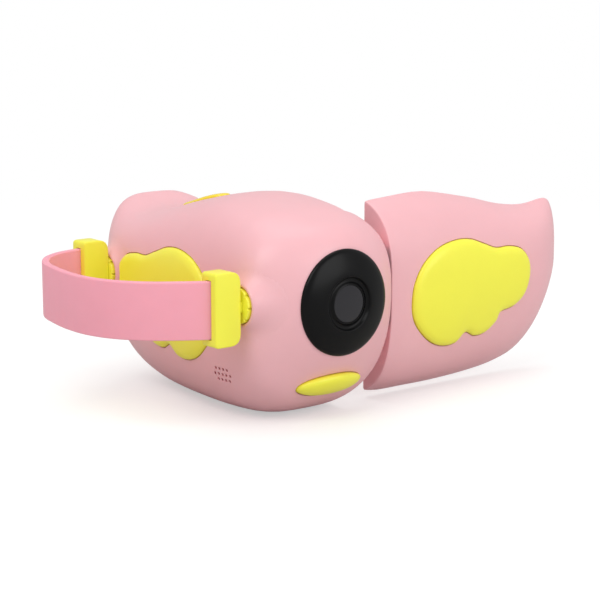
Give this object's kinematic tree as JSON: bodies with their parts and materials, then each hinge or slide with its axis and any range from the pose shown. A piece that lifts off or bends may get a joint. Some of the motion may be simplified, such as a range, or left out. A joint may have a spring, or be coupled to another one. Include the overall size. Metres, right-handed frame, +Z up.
{
  "type": "kids digital camera",
  "caption": "Bird-shaped hand-held kids camera with a domed lens, flip-out screen flap, push buttons, a top rocker and a rubber wrist strap.",
  "frame": {"origin": "centre of the flat face the camera rests on, on the ground plane", "axes": "+Z up, the lens looks along -Y, the screen flap stands open towards +X and the wrist strap is on the -X side"},
  "size_m": [0.1758, 0.1055, 0.0655],
  "materials": {
    "pink_shell": "satin",
    "panel_pink": "satin",
    "collar_pink": "satin",
    "yellow_trim": "satin",
    "yellow_button": "gloss",
    "strap_rubber": "matte",
    "black_gloss": "gloss",
    "black_plastic": "matte",
    "smoked_glass": "polished",
    "clear_glass": "polished",
    "screen_glass": "polished",
    "white_plastic": "satin",
    "hinge_grey": "satin",
    "steel": "brushed",
    "board_green": "satin",
    "foil": "satin",
    "screen_module": "satin"
  },
  "bodies": {
    "camera": {"body_shell": "pink_shell", "side_panel": "panel_pink", "panel_screws": "steel", "lens_bezel": "black_gloss", "lens_window": "smoked_glass", "lens_barrel": "black_plastic", "front_lens": "clear_glass", "rear_lens": "clear_glass", "image_sensor": "black_plastic", "sensor_board": "board_green", "beak": "yellow_trim", "right_wing_pad": "yellow_trim", "hinge_bracket": "hinge_grey", "hinge_pin": "steel", "front_strap_socket": "collar_pink", "rear_strap_socket": "collar_pink", "strap": "strap_rubber", "rocker_pin": "steel", "top_carrier": "white_plastic", "top_board": "board_green", "top_switches": "black_plastic", "panel_switches": "black_plastic", "main_board": "board_green", "battery": "foil", "speaker": "black_plastic", "usb_socket": "steel", "card_socket": "steel", "record_guide": "white_plastic", "record_board": "board_green", "record_switch": "black_plastic"},
    "flap": {"flap_shell": "pink_shell", "flap_wing_pad": "yellow_trim", "flap_frame": "panel_pink", "flap_screws": "steel", "screen_window": "screen_glass", "lcd_module": "screen_module", "hinge_arm": "hinge_grey"},
    "front_clip": {"front_strap_clip": "yellow_trim", "front_clip_retainer": "white_plastic", "front_strap_pin": "steel"},
    "rear_clip": {"rear_strap_clip": "yellow_trim", "rear_clip_retainer": "white_plastic", "rear_strap_pin": "steel"},
    "zoom": {"zoom_rocker": "yellow_button"},
    "power": {"power_button": "yellow_button"},
    "mode": {"mode_button": "yellow_button"},
    "playback": {"playback_button": "yellow_button"},
    "record": {"record_button": "yellow_button"}
  },
  "joints": [
    {"name": "flap_hinge", "type": "hinge", "parent": "camera", "child": "flap", "pos_m": [0.0238, -0.0239, 0.037], "axis": [0, 0, 1], "range_deg": [0, 90]},
    {"name": "front_clip_swivel", "type": "hinge", "parent": "camera", "child": "front_clip", "pos_m": [-0.0355, -0.025, 0.0377], "axis": [1, 0, 0], "range_deg": [-12, 12], "stiffness_Nm_per_rad": 0.02, "deforming": ["strap"]},
    {"name": "rear_clip_swivel", "type": "hinge", "parent": "camera", "child": "rear_clip", "pos_m": [-0.0355, 0.047, 0.0377], "axis": [1, 0, 0], "range_deg": [-12, 12], "stiffness_Nm_per_rad": 0.02, "deforming": ["strap"]},
    {"name": "zoom_rock", "type": "hinge", "parent": "camera", "child": "zoom", "pos_m": [0, 0.0315, 0.0543], "axis": [1, 0, 0], "range_deg": [-3, 3], "stiffness_Nm_per_rad": 0.3},
    {"name": "power_press", "type": "slide", "parent": "camera", "child": "power", "axis": [-1, 0, 0], "range_m": [0, 0.0006], "stiffness_N_per_m": 1200},
    {"name": "mode_press", "type": "slide", "parent": "camera", "child": "mode", "axis": [-1, 0, 0], "range_m": [0, 0.0006], "stiffness_N_per_m": 1200},
    {"name": "playback_press", "type": "slide", "parent": "camera", "child": "playback", "axis": [-1, 0, 0], "range_m": [0, 0.0006], "stiffness_N_per_m": 1200},
    {"name": "record_press", "type": "slide", "parent": "camera", "child": "record", "axis": [0, -1, 0], "range_m": [0, 0.0006], "stiffness_N_per_m": 1500}
  ]
}
